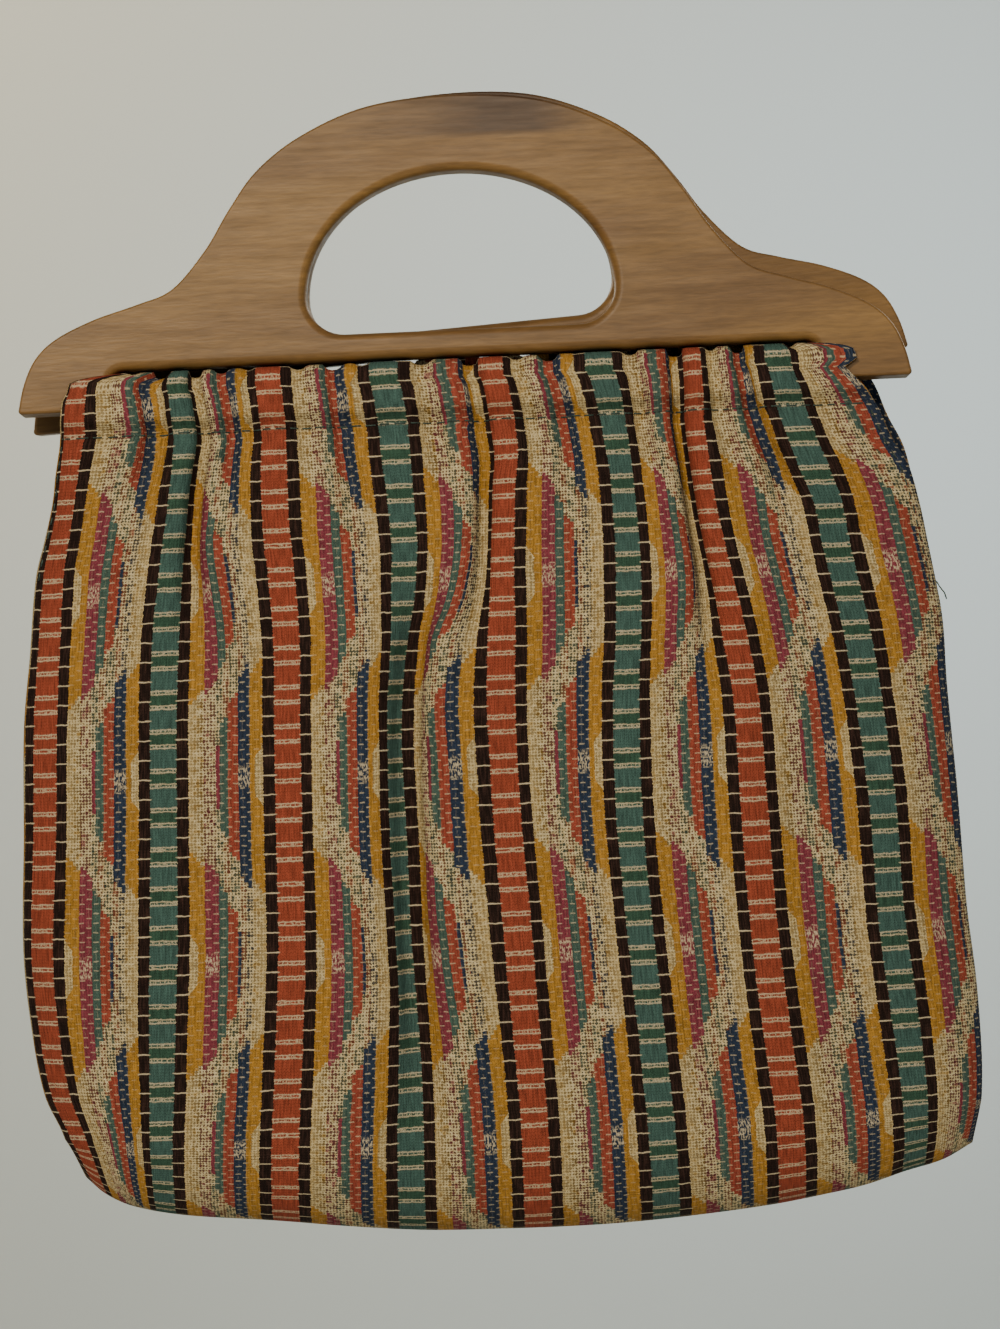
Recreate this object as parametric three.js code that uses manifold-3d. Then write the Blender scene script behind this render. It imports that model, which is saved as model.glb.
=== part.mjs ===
import * as THREE from 'three';
import { mergeVertices } from 'three/addons/utils/BufferGeometryUtils.js';
import Module from 'manifold-3d';

const wasm = await Module();
wasm.setup();

// Wooden handle bag, hanging as it is stored.
// Millimetres. +X is right, the front faces -Y, +Z is up.
// The origin is the point it hangs by: the top of the hand holes, halfway between the two plates.

// Handle plates, sawn from board
const plateWidth = 335.4;
const plateThick = 12.5;
const plateRound = 3.5;
const crownRise = 28.5;
const holeWidth = 116;
const holeArch = 46;
const holeCorner = 14;
const landHeight = 10;
const footWidth = 34.5;
const footDrop = 15;
const footCorner = 4.5;
const notchCorner = 5;
const outlineSteps = 58;
const archSteps = 24;
const roundSteps = 2;
const footSteps = 2;
const notchSteps = 3;
const holeSteps = 4;

// How the plates hang: both lean out from the crown, and the back one has swung a little
const plateLean = THREE.MathUtils.degToRad(2.25);
const plateGap = 0.5;
const backSwing = THREE.MathUtils.degToRad(3.15);
const backShift = -2.6;
const backLift = 3.2;

// Dowels between the feet
const dowelAcross = 8;
const dowelSides = 16;
const dowelBelowNotch = 8.3;
const dowelSeat = 12;
const dowelGap = 0.3;

// Cloth
const clothThick = 1.6;
const clothGap = 0.3;

// Casing, the loop of cloth over a dowel, down to its stitch line
const casingDrop = 16.6;
const casingFront = 8.7;
const casingBack = 6.6;
const casingBackAtFeet = 8.6;
const casingLap = 18.5;
const lapShareLeft = 0.75;
const lapShareRight = 0.7;
const casingSideClear = 0.9;
const casingEndClear = 3.1;
const footZoneStart = 0.9;
const footZoneEnd = 0.97;
const stitchOut = 4.5;
const tuckDepth = 2;

// Bag below the stitch line
const bagWidth = 365;
const bagDrop = 303.7;
const bagDepth = 56;
const cornerLift = 26;
const cornerCurve = 2.3;
const cornerPull = 0.035;
const sideCurve = 2.6;
const sideFullness = 0.62;
const slitLeft = 55;
const slitRight = 71;
const slitCurve = 1.2;
const gatherDepth = 5;

// Levels of the plate, from the hang point down
const holeBottom = -(holeArch + holeCorner);
const notchTop = holeBottom - landHeight;
const footBottom = notchTop - footDrop;
const dowelLevel = notchTop - dowelBelowNotch;
const stitchLevel = dowelLevel - casingDrop;
const notchHalf = plateWidth / 2 - footWidth;

// Right half of a plate's outline, from the crown to the foot:
// across is a share of half its width, up is a share of its height above the feet
const plateOutline = [
  { across: 0.191, up: 0.974 },
  { across: 0.341, up: 0.887 },
  { across: 0.445, up: 0.776 },
  { across: 0.512, up: 0.648 },
  { across: 0.568, up: 0.519 },
  { across: 0.645, up: 0.394 },
  { across: 0.725, up: 0.348 },
  { across: 0.823, up: 0.304 },
  { across: 0.909, up: 0.246 },
  { across: 0.958, up: 0.182 },
  { across: 0.986, up: 0.098 },
];

// Casing from the end of its inner flap, over the dowel, to the stitch line in front:
// turn is the angle about the dowel in degrees from straight up, drop is the share of the
// way down to the stitch line, and reach says how far it spans at that row
const casingRows = [
  { drop: 1.00, out: 'flap', reach: 'seam' },
  { drop: 0.50, out: 'back', reach: 'seam' },
  { turn: -90, out: 'back', reach: 'lap' },
  { turn: -65, out: 'back', reach: 'notch' },
  { turn: -34, out: 'back', reach: 'notch' },
  { turn: 0, out: 'front', reach: 'top' },
  { turn: 34, out: 'front', reach: 'notch' },
  { turn: 65, out: 'front', reach: 'notch' },
  { turn: 90, out: 'front', reach: 'lap' },
  { drop: 0.50, out: 'front', reach: 'seam' },
  { drop: 1.00, out: 'stitch', reach: 'seam' },
];

// Bag in shares: down of bagDrop, left and right of half bagWidth, depth of half bagDepth
const bagRows = [
  { down: 0.030, left: 0.838, right: 0.858, depth: 0.640 },
  { down: 0.070, left: 0.848, right: 0.888, depth: 0.680 },
  { down: 0.115, left: 0.868, right: 0.920, depth: 0.715 },
  { down: 0.165, left: 0.894, right: 0.940, depth: 0.745 },
  { down: 0.234, left: 0.915, right: 0.954, depth: 0.780 },
  { down: 0.320, left: 0.934, right: 0.961, depth: 0.820 },
  { down: 0.420, left: 0.945, right: 0.967, depth: 0.865 },
  { down: 0.520, left: 0.955, right: 0.978, depth: 0.910 },
  { down: 0.610, left: 0.962, right: 0.988, depth: 0.950 },
  { down: 0.700, left: 0.953, right: 0.996, depth: 0.985 },
  { down: 0.790, left: 0.940, right: 1.000, depth: 1.000 },
  { down: 0.870, left: 0.893, right: 0.996, depth: 0.980 },
];
const bottomTurns = [25, 50, 72, 90];

// Gathers across the bag, left to right, one valley each: at is a share of half its width,
// tuck of tuckDepth on the casing, deep of gatherDepth below it, reach of bagDrop
const gathers = [
  { at: -0.945, tuck: 0.0, deep: 0.15, reach: 0.30 },
  { at: -0.860, tuck: 0.5, deep: 0.55, reach: 0.20 },
  { at: -0.765, tuck: 0.9, deep: 1.00, reach: 0.16 },
  { at: -0.680, tuck: 0.6, deep: 0.95, reach: 0.62 },
  { at: -0.600, tuck: 1.0, deep: 0.45, reach: 0.14 },
  { at: -0.530, tuck: 0.6, deep: 0.40, reach: 0.30 },
  { at: -0.400, tuck: 0.9, deep: 0.55, reach: 0.35 },
  { at: -0.322, tuck: 0.7, deep: 0.70, reach: 0.50 },
  { at: -0.250, tuck: 0.9, deep: 0.50, reach: 0.80 },
  { at: -0.100, tuck: 0.8, deep: 0.50, reach: 0.25 },
  { at: 0.007, tuck: 1.0, deep: 1.00, reach: 0.55 },
  { at: 0.135, tuck: 0.8, deep: 0.40, reach: 0.20 },
  { at: 0.232, tuck: 0.9, deep: 0.75, reach: 0.25 },
  { at: 0.320, tuck: 0.5, deep: 0.40, reach: 0.35 },
  { at: 0.460, tuck: 1.0, deep: 1.00, reach: 0.65 },
  { at: 0.530, tuck: 0.7, deep: 0.45, reach: 0.22 },
  { at: 0.650, tuck: 1.0, deep: 0.90, reach: 0.20 },
  { at: 0.740, tuck: 0.8, deep: 0.70, reach: 0.40 },
  { at: 0.870, tuck: 0.4, deep: 0.40, reach: 0.25 },
  { at: 0.945, tuck: 0.0, deep: 0.15, reach: 0.30 },
];

const wood = { color: 0xc49a6c, roughness: 0.45, metalness: 0 };
const cloth = { color: 0xb8a07a, roughness: 0.9, metalness: 0 };

function mix(a, b, share) {
  return a + (b - a) * share;
}

// A rounded corner of an outline, as points from one side to the other
function cornerPoints(x, z, radius, fromAngle, toAngle, steps) {
  const points = [];
  for (let i = 0; i <= steps; i++) {
    const angle = mix(fromAngle, toAngle, i / steps);
    points.push(new THREE.Vector2(x + radius * Math.cos(angle), z + radius * Math.sin(angle)));
  }
  return points;
}

// The plate's outline, anticlockwise from the right foot over the crown and along the notch
function outlinePoints() {
  const height = crownRise - footBottom;
  const right = plateOutline.map((row) => (
    new THREE.Vector2(row.across * plateWidth / 2, footBottom + row.up * height)
  ));
  const left = right.map((point) => new THREE.Vector2(-point.x, point.y));
  const ankle = footBottom + footCorner;
  const through = [
    new THREE.Vector2(plateWidth / 2, ankle),
    ...[...right].reverse(),
    new THREE.Vector2(0, crownRise),
    ...left,
    new THREE.Vector2(-plateWidth / 2, ankle),
  ];
  const crown = new THREE.SplineCurve(through).getPoints(outlineSteps);
  const outer = plateWidth / 2 - footCorner;
  const inner = notchHalf + footCorner;
  const roof = notchHalf - notchCorner;
  const ceiling = notchTop - notchCorner;
  const half = Math.PI / 2;
  return [
    ...crown,
    ...cornerPoints(-outer, ankle, footCorner, Math.PI, 3 * half, footSteps).slice(1),
    ...cornerPoints(-inner, ankle, footCorner, 3 * half, 4 * half, footSteps),
    ...cornerPoints(-roof, ceiling, notchCorner, Math.PI, half, notchSteps),
    ...cornerPoints(roof, ceiling, notchCorner, half, 0, notchSteps),
    ...cornerPoints(inner, ankle, footCorner, Math.PI, 3 * half, footSteps),
    ...cornerPoints(outer, ankle, footCorner, -half, 0, footSteps).slice(0, -1),
  ];
}

// The hand hole: half an ellipse over a flat bottom with round corners
function holePoints() {
  const points = [];
  for (let i = 0; i <= archSteps; i++) {
    const angle = Math.PI * i / archSteps;
    points.push(new THREE.Vector2(holeWidth / 2 * Math.cos(angle), holeArch * (Math.sin(angle) - 1)));
  }
  const side = holeWidth / 2 - holeCorner;
  const half = Math.PI / 2;
  points.push(...cornerPoints(-side, -holeArch, holeCorner, Math.PI, 3 * half, holeSteps).slice(1));
  points.push(...cornerPoints(side, -holeArch, holeCorner, -half, 0, holeSteps).slice(0, -1));
  return points;
}

function toSolid(geometry) {
  const bare = geometry.clone();
  bare.deleteAttribute('normal');
  bare.deleteAttribute('uv');
  const merged = mergeVertices(bare, 1e-4);
  return new wasm.Manifold(new wasm.Mesh({
    numProp: 3,
    vertProperties: new Float32Array(merged.attributes.position.array),
    triVerts: new Uint32Array(merged.index.array),
  }));
}

function toGeometry(solid) {
  const mesh = solid.getMesh();
  const geometry = new THREE.BufferGeometry();
  geometry.setAttribute('position', new THREE.BufferAttribute(new Float32Array(mesh.vertProperties), 3));
  geometry.setIndex(new THREE.BufferAttribute(new Uint32Array(mesh.triVerts), 1));
  return geometry;
}

// A round bar along X
function barGeometry(across, length, middle) {
  const bar = new THREE.CylinderGeometry(across / 2, across / 2, length, dowelSides);
  bar.rotateZ(Math.PI / 2);
  bar.translate(middle, 0, dowelLevel);
  return bar;
}

// A plate with rounded edges and a blind bore for the dowel in each foot
function plateGeometry() {
  const shape = new THREE.Shape(outlinePoints());
  shape.holes.push(new THREE.Path(holePoints()));
  const slab = new THREE.ExtrudeGeometry(shape, {
    depth: plateThick - 2 * plateRound,
    bevelThickness: plateRound,
    bevelSize: plateRound,
    bevelOffset: -plateRound,
    bevelSegments: roundSteps,
  });
  slab.translate(0, 0, -(plateThick / 2 - plateRound));
  slab.rotateX(Math.PI / 2);
  let plate = toSolid(slab);
  for (const side of [-1, 1]) {
    const bore = barGeometry(dowelAcross + 2 * dowelGap, 2 * dowelSeat, side * notchHalf);
    plate = plate.subtract(toSolid(bore));
  }
  return toGeometry(plate);
}

// Where a plate hangs: side is -1 for the front and 1 for the back
function hangPlate(side, swung) {
  const middle = plateThick / 2 + plateGap / 2 + crownRise * Math.sin(plateLean);
  const place = new THREE.Group();
  place.position.set(0, side * middle, 0);
  place.rotation.set(side * plateLean, 0, 0);
  if (swung) {
    place.position.x = backShift;
    place.position.z = backLift;
    place.rotation.y = -backSwing;
  }
  place.updateMatrixWorld(true);
  return place;
}

// Share of the way across a row, from its left end to its right end
function acrossRow(share, left, right) {
  return share < 0 ? share * left : share * right;
}

// Places across the cloth: a valley at each gather, a crest between two, and both edges
function clothColumns() {
  const columns = [{ at: -1, gather: null }];
  gathers.forEach((gather, i) => {
    columns.push({ at: gather.at, gather });
    const next = i + 1 < gathers.length ? gathers[i + 1].at : null;
    if (next !== null) columns.push({ at: (gather.at + next) / 2, gather: null });
  });
  columns.push({ at: 1, gather: null });
  return columns;
}

// Outer face of the casing, in the plate's own frame
function casingPoint(row, column, side) {
  const spans = {
    seam: { left: notchHalf + casingLap, right: notchHalf + casingLap },
    lap: { left: notchHalf + lapShareLeft * casingLap, right: notchHalf + lapShareRight * casingLap },
    notch: { left: notchHalf - casingSideClear, right: notchHalf - casingSideClear },
    top: { left: notchHalf - casingEndClear, right: notchHalf - casingEndClear },
  };
  const span = spans[row.reach];
  const x = acrossRow(column.at, span.left, span.right);
  const zone = [footZoneStart * notchHalf, footZoneEnd * notchHalf];
  const nearFoot = THREE.MathUtils.smoothstep(Math.abs(x), ...zone);
  const back = mix(casingBack, casingBackAtFeet, nearFoot);
  const tuck = column.gather ? column.gather.tuck * tuckDepth * (1 - nearFoot) : 0;
  const outs = {
    flap: stitchOut - 2 * clothThick - clothGap,
    back: -back,
    front: casingFront - tuck,
    stitch: stitchOut,
  };
  if (row.turn !== undefined) {
    const angle = THREE.MathUtils.degToRad(row.turn);
    const top = dowelAcross / 2 + clothGap + clothThick;
    const reachOut = Math.abs(outs[row.out]) * Math.sin(angle);
    return new THREE.Vector3(x, side * reachOut, dowelLevel + top * Math.cos(angle));
  }
  return new THREE.Vector3(x, side * outs[row.out], mix(dowelLevel, stitchLevel, row.drop));
}

// Outer face of the bag below the stitch line: drop runs down from the stitch line
function bagPoint(row, turn, column, side, stitchDepth) {
  const angle = THREE.MathUtils.degToRad(turn);
  const x = acrossRow(column.at, row.left * bagWidth / 2, row.right * bagWidth / 2);
  const edge = Math.abs(column.at);
  const bottom = bagDrop - cornerLift * Math.pow(edge, cornerCurve);
  const drop = mix(row.down * bagDrop, bottom, Math.sin(angle));
  const slit = column.at < 0 ? slitLeft : slitRight;
  const open = Math.max(0, 1 - row.down * bagDrop / slit);
  const atEdge = Math.max(clothGap / 2, stitchDepth * Math.pow(open, slitCurve));
  const round = Math.pow(1 - Math.pow(edge, sideCurve), sideFullness);
  let depth = mix(atEdge, row.depth * bagDepth / 2, round);
  if (column.gather) {
    const fade = Math.max(0, 1 - row.down / column.gather.reach);
    depth -= column.gather.deep * gatherDepth * Math.sqrt(fade);
  }
  depth = mix(clothGap / 2, depth, Math.cos(angle));
  return new THREE.Vector3(x, side * depth, stitchLevel - drop);
}

// Faces of a sheet with thickness, from the grids of its outer and inner points
function sheetGeometry(outer, inner) {
  const rows = outer.length;
  const columns = outer[0].length;
  const positions = [];
  for (const grid of [outer, inner]) {
    for (const line of grid) {
      for (const point of line) positions.push(point.x, point.y, point.z);
    }
  }
  const at = (layer, i, j) => layer * rows * columns + i * columns + j;
  const index = [];
  const quad = (a, b, c, d) => index.push(a, b, c, a, c, d);
  for (let i = 0; i + 1 < rows; i++) {
    for (let j = 0; j + 1 < columns; j++) {
      quad(at(0, i, j), at(0, i + 1, j), at(0, i + 1, j + 1), at(0, i, j + 1));
      quad(at(1, i, j), at(1, i, j + 1), at(1, i + 1, j + 1), at(1, i + 1, j));
    }
    quad(at(0, i + 1, 0), at(0, i, 0), at(1, i, 0), at(1, i + 1, 0));
    const end = columns - 1;
    quad(at(0, i, end), at(0, i + 1, end), at(1, i + 1, end), at(1, i, end));
  }
  for (let j = 0; j + 1 < columns; j++) {
    quad(at(0, 0, j), at(0, 0, j + 1), at(1, 0, j + 1), at(1, 0, j));
    const end = rows - 1;
    quad(at(0, end, j + 1), at(0, end, j), at(1, end, j), at(1, end, j + 1));
  }
  const geometry = new THREE.BufferGeometry();
  geometry.setAttribute('position', new THREE.Float32BufferAttribute(positions, 3));
  geometry.setIndex(index);
  return geometry;
}

// Inner face of a sheet: each outer point moved in by the thickness of the cloth,
// and on the sewn edges straight in, so that the two panels meet edge to edge
function innerGrid(outer, side, isSewn) {
  const last = outer.length - 1;
  const end = outer[0].length - 1;
  return outer.map((line, i) => line.map((point, j) => {
    const along = outer[Math.min(i + 1, last)][j].clone().sub(outer[Math.max(i - 1, 0)][j]);
    const across = line[Math.min(j + 1, end)].clone().sub(line[Math.max(j - 1, 0)]);
    const inward = across.cross(along).multiplyScalar(-side);
    if (isSewn(i, j)) inward.y = 0;
    inward.normalize();
    const moved = point.clone().addScaledVector(inward, clothThick);
    if (side * moved.y < clothGap / 2) moved.y = side * clothGap / 2;
    return moved;
  }));
}

// One side of the bag: a sheet from the flap in its casing, over the dowel, to the bottom
function panelGeometry(side) {
  const place = hangPlate(side, side > 0);
  const level = hangPlate(side, false);
  const columns = clothColumns();
  const stitch = new THREE.Vector3(0, side * stitchOut, stitchLevel).applyMatrix4(level.matrixWorld);
  const stitchDepth = Math.abs(stitch.y);
  const outer = casingRows.map((row) => (
    columns.map((column) => casingPoint(row, column, side).applyMatrix4(place.matrixWorld))
  ));
  const below = bagRows.map((row) => ({ row, turn: 0 }));
  const lowest = bagRows[bagRows.length - 1];
  for (const turn of bottomTurns) {
    const pull = 1 - cornerPull * Math.sin(THREE.MathUtils.degToRad(turn));
    const row = { ...lowest, left: lowest.left * pull, right: lowest.right * pull };
    below.push({ row, turn });
  }
  const seamStart = outer.length;
  for (const { row, turn } of below) {
    const swing = 1 - THREE.MathUtils.smoothstep(row.down * bagDrop, 0, slitLeft);
    outer.push(columns.map((column) => {
      const point = bagPoint(row, turn, column, side, stitchDepth);
      const still = new THREE.Vector3(point.x, 0, stitchLevel);
      const moved = still.clone().applyMatrix4(place.matrixWorld);
      moved.sub(still.applyMatrix4(level.matrixWorld));
      point.x += moved.x * swing;
      point.z += moved.z * swing;
      return point;
    }));
  }
  const last = outer.length - 1;
  const end = columns.length - 1;
  const isSewn = (i, j) => {
    if (i === last) return true;
    if (j > 0 && j < end) return false;
    const slit = j === 0 ? slitLeft : slitRight;
    return i >= seamStart && below[i - seamStart].row.down * bagDrop >= slit;
  };
  const inner = innerGrid(outer, side, isSewn);
  const sheet = sheetGeometry(outer, inner);
  return side < 0 ? sheet : flipFaces(sheet);
}

function flipFaces(geometry) {
  const index = geometry.index.array;
  for (let i = 0; i < index.length; i += 3) {
    [index[i], index[i + 1]] = [index[i + 1], index[i]];
  }
  return geometry;
}

function addPiece(parent, name, geometry, finish) {
  geometry.computeVertexNormals();
  const piece = new THREE.Mesh(geometry, new THREE.MeshStandardMaterial(finish));
  piece.name = name;
  parent.add(piece);
}

const group = new THREE.Group();
const dowelLength = 2 * (notchHalf + dowelSeat - dowelGap);
for (const [name, side] of [['front', -1], ['back', 1]]) {
  const place = hangPlate(side, side > 0);
  addPiece(place, `${name}_handle`, plateGeometry(), wood);
  addPiece(place, `${name}_dowel`, barGeometry(dowelAcross, dowelLength, 0), wood);
  group.add(place);
  addPiece(group, `${name}_panel`, panelGeometry(side), cloth);
}

export default group;
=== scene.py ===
import bisect
import math

import bmesh
import bpy
from mathutils import Matrix, Vector, noise
from mathutils.kdtree import KDTree


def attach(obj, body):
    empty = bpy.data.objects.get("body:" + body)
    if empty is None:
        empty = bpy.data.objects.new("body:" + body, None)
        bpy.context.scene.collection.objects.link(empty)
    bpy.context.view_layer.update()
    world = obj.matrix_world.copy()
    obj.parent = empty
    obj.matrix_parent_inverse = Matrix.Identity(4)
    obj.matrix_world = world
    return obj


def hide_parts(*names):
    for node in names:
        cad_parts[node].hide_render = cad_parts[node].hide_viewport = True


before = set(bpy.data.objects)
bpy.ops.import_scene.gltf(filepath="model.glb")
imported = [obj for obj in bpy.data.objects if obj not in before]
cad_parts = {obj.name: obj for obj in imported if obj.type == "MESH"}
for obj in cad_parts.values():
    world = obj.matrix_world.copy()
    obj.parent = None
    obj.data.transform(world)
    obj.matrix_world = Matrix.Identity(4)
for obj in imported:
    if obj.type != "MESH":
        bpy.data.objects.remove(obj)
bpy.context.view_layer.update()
print("frame loaded:", ", ".join(sorted(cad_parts)))

mm = 0.001  # every size below is in millimetres, turned to metres with this


# Small helpers

def mix(low, high, share):
    return low + (high - low) * share


def smooth(low, high, value):
    share = min(max((value - low) / (high - low), 0.0), 1.0)
    return share * share * (3 - 2 * share)


def readTable(rows, key, name, place):
    # a smooth curve through a table's named column, flat beyond its ends
    places = [row[key] for row in rows]
    values = [row[name] for row in rows]
    if places[0] > places[-1]:
        places.reverse()
        values.reverse()
    if place <= places[0]:
        return values[0]
    if place >= places[-1]:
        return values[-1]
    i = bisect.bisect_right(places, place) - 1
    slopes = []
    for j in (i, i + 1):
        before, after = max(j - 1, 0), min(j + 1, len(places) - 1)
        slopes.append((values[after] - values[before]) / (places[after] - places[before]))
    width = places[i + 1] - places[i]
    t = (place - places[i]) / width
    start = values[i] * (1 + 2 * t) * (1 - t) ** 2 + slopes[0] * width * t * (1 - t) ** 2
    end = values[i + 1] * t * t * (3 - 2 * t) + slopes[1] * width * t * t * (t - 1)
    return start + end


def toLinear(hexColour):
    channels = [int(hexColour[i:i + 2], 16) / 255 for i in (1, 3, 5)]
    return tuple(c / 12.92 if c < 0.04045 else ((c + 0.055) / 1.055) ** 2.4 for c in channels) + (1.0,)


def addNode(tree, kind, inputs=(), stops=(), **settings):
    # inputs are plain values, nodes or sockets, by place or by name; stops fill a colour ramp
    node = tree.nodes.new("ShaderNode" + kind)
    for name, value in settings.items():
        setattr(node, name, value)
    named = isinstance(inputs, dict)
    for key, value in (inputs.items() if named else enumerate(inputs)):
        socket = next(s for s in node.inputs if s.enabled and s.name == key) if named else node.inputs[key]
        if isinstance(value, bpy.types.Node):
            value = next(s for s in value.outputs if s.enabled)
        if isinstance(value, bpy.types.NodeSocket):
            tree.links.new(value, socket)
        else:
            socket.default_value = value
    for i, (place, colour) in enumerate(stops):
        ramp = node.color_ramp.elements
        stop = ramp[i] if i < 2 and i < len(ramp) else ramp.new(place)
        stop.position = place
        stop.color = colour
    return node


def newMaterial(name):
    material = bpy.data.materials.new(name)
    material.use_nodes = True
    material.node_tree.nodes.clear()
    return material, material.node_tree


def finishPiece(piece, materials):
    for material in materials:
        piece.data.materials.append(material)
    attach(piece, "root")
    return piece


def pieceFromBmesh(name, bm):
    mesh = bpy.data.meshes.new(name)
    bm.to_mesh(mesh)
    bm.free()
    mesh.shade_smooth()
    piece = bpy.data.objects.new(name, mesh)
    bpy.context.scene.collection.objects.link(piece)
    return piece


# Camera, where the photograph was taken from

view = {
    "centreX": 8.4,  # what lies in the middle of the picture
    "centreZ": -186.4,
    "distance": 1216.0,
    "shownHeight": 498.4,  # of the picture, at the front of the handle
    "roll": 2.61,  # the bag hangs a little off its middle
}


def addCamera():
    lens = bpy.data.cameras.new("photo_camera")
    lens.sensor_fit = "VERTICAL"
    lens.sensor_height = 36
    lens.lens = 36 * (view["distance"] - 16) / view["shownHeight"]
    lens.clip_start = 0.05
    lens.clip_end = 20
    camera = bpy.data.objects.new("photo_camera", lens)
    place = Matrix.Translation(Vector((view["centreX"], -view["distance"], view["centreZ"])) * mm)
    roll = Matrix.Rotation(math.radians(view["roll"]), 4, "Y")
    camera.matrix_world = place @ roll @ Matrix.Rotation(math.radians(90), 4, "X")
    bpy.context.scene.collection.objects.link(camera)
    bpy.context.scene.camera = camera


addCamera()


# Materials

wood = {
    "pale": "#70542b",
    "middle": "#583f21",
    "heart": "#3c2916",  # the darker band of heartwood along the crown
    "heartFrom": 11.5,  # its lower edge, above the hand hole
    "heartTo": 14.5,
    "fibre": 1.1,  # mm across the grain
    "pore": 0.45,  # mm, drawn a little coarser than real pores so that it shows
}


def makeWood(name, turn):
    # limewood, sanded and waxed: fine straight grain and a soft, broad sheen
    material, tree = newMaterial(name)
    place = addNode(tree, "TexCoord").outputs["Object"]
    turned = addNode(tree, "Mapping", {"Vector": place, "Rotation": (0, math.radians(turn), 0)})
    layers = []
    for scale, detail in (((40, 90, 1000 / wood["fibre"] / 2), 4.0), ((160, 500, 1000 / wood["pore"] / 2), 2.0),
                          ((6, 6, 42), 3.0)):
        stretched = addNode(tree, "Mapping", {"Vector": turned, "Scale": scale})
        layers.append(addNode(tree, "TexNoise", {"Vector": stretched, "Scale": 1.0, "Detail": detail}))
    fibres, pores, streaks = layers
    grain = addNode(tree, "ValToRGB", [streaks], stops=[
        (0.30, toLinear(wood["middle"])), (0.62, toLinear(wood["pale"]))])
    fibreShade = addNode(tree, "MapRange", [fibres, 0.3, 0.7, 0.84, 1.12])
    poreShade = addNode(tree, "MapRange", [pores, 0.35, 0.62, 0.86, 1.05])
    shade = addNode(tree, "Math", [fibreShade, poreShade], operation="MULTIPLY")

    # the heartwood band has a straight lower edge and fades out towards both sides
    apart = addNode(tree, "SeparateXYZ", [turned])
    height = addNode(tree, "Math", [streaks, 0.004, apart.outputs["Z"]], operation="MULTIPLY_ADD")
    band = addNode(tree, "MapRange", [height, (wood["heartFrom"] + 2) * mm, (wood["heartTo"] + 2) * mm, 0.0, 1.0])
    leftFade = addNode(tree, "MapRange", [apart.outputs["X"], -0.062, -0.010, 0.0, 0.55])
    rightFade = addNode(tree, "MapRange", [apart.outputs["X"], -0.010, 0.012, 0.0, 0.45])
    endFade = addNode(tree, "MapRange", [apart.outputs["X"], 0.030, 0.060, 1.0, 0.0])
    reach = addNode(tree, "Math", [leftFade, rightFade], operation="ADD")
    reach = addNode(tree, "Math", [reach, endFade], operation="MULTIPLY")
    band = addNode(tree, "Math", [band, reach], operation="MULTIPLY")
    base = addNode(tree, "Mix", {"Factor": band, "A": grain, "B": toLinear(wood["heart"])}, data_type="RGBA")
    shaded = addNode(tree, "Mix", {"Factor": 1.0, "A": base, "B": shade},
                     data_type="RGBA", blend_type="MULTIPLY")
    bump = addNode(tree, "Bump", {"Height": pores, "Strength": 0.2, "Distance": 0.0003})
    rough = addNode(tree, "MapRange", [fibres, 0.3, 0.7, 0.50, 0.40])
    shader = addNode(tree, "BsdfPrincipled", {
        "Base Color": shaded, "Roughness": rough, "Normal": bump, "Specular IOR Level": 0.25})
    addNode(tree, "OutputMaterial", [shader])
    return material


weave = {
    "pitch": 46.6,  # from one coloured stripe to the next
    "stripe": 10.0,
    "edging": 4.3,
    "leafPeriod": 140.5,
    "leftLeafAt": 154.0,  # down from the top of the hand hole
    "rightLeafAt": 224.3,
    "step": 1.4,  # of the stepped leaf ends
    "bite": 3.0,  # cream that cuts into a leaf's middle from its stripe
    "barPeriod": 14.7,
    "barGap": 5.6,  # between the two bars of a pair
    "barAt": 165.0,
    "barLine": 0.62,  # a bar is two fine lines this far from its middle
    "lineAt": 165.4,
    "lineGap": 7.35,
    "lineOver": 0.8,  # how far the white lines run out of the black
    "dash": 3.6,
    "brick": 2.7,
    "cell": 1.2,  # of the cream ground: about twice the real thread spacing, so that it shows
    "black": "#180e0a",
    "blackPale": "#36241e",
    "orange": "#7b3827",
    "green": "#364e48",
    "greenDark": "#2b4336",
    "yellow": "#8d6727",
    "crimson": "#6a2e37",
    "leafGreen": "#394c44",
    "leafOrange": "#7b382a",
    "navy": "#212b3b",
    "white": "#b7a98a",
    "creamPale": "#bcae8a",
    "creamDeep": "#918058",
    "creamYellow": "#a38b56",
}

# What runs behind the cream ground and shows in its gaps: from the field's left side, in mm
behindRows = [
    {"from": 0.0, "colour": "#8a6a2a"},
    {"from": 5.5, "colour": "#6d2d37"},
    {"from": 9.5, "colour": "#3b4e45"},
    {"from": 12.5, "colour": "#7a3a2a"},
    {"from": 15.0, "colour": "#3b4e45"},
    {"from": 18.5, "colour": "#7a3a2a"},
    {"from": 20.5, "colour": "#222c3e"},
    {"from": 23.2, "colour": "#8a6a2a"},
]

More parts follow.
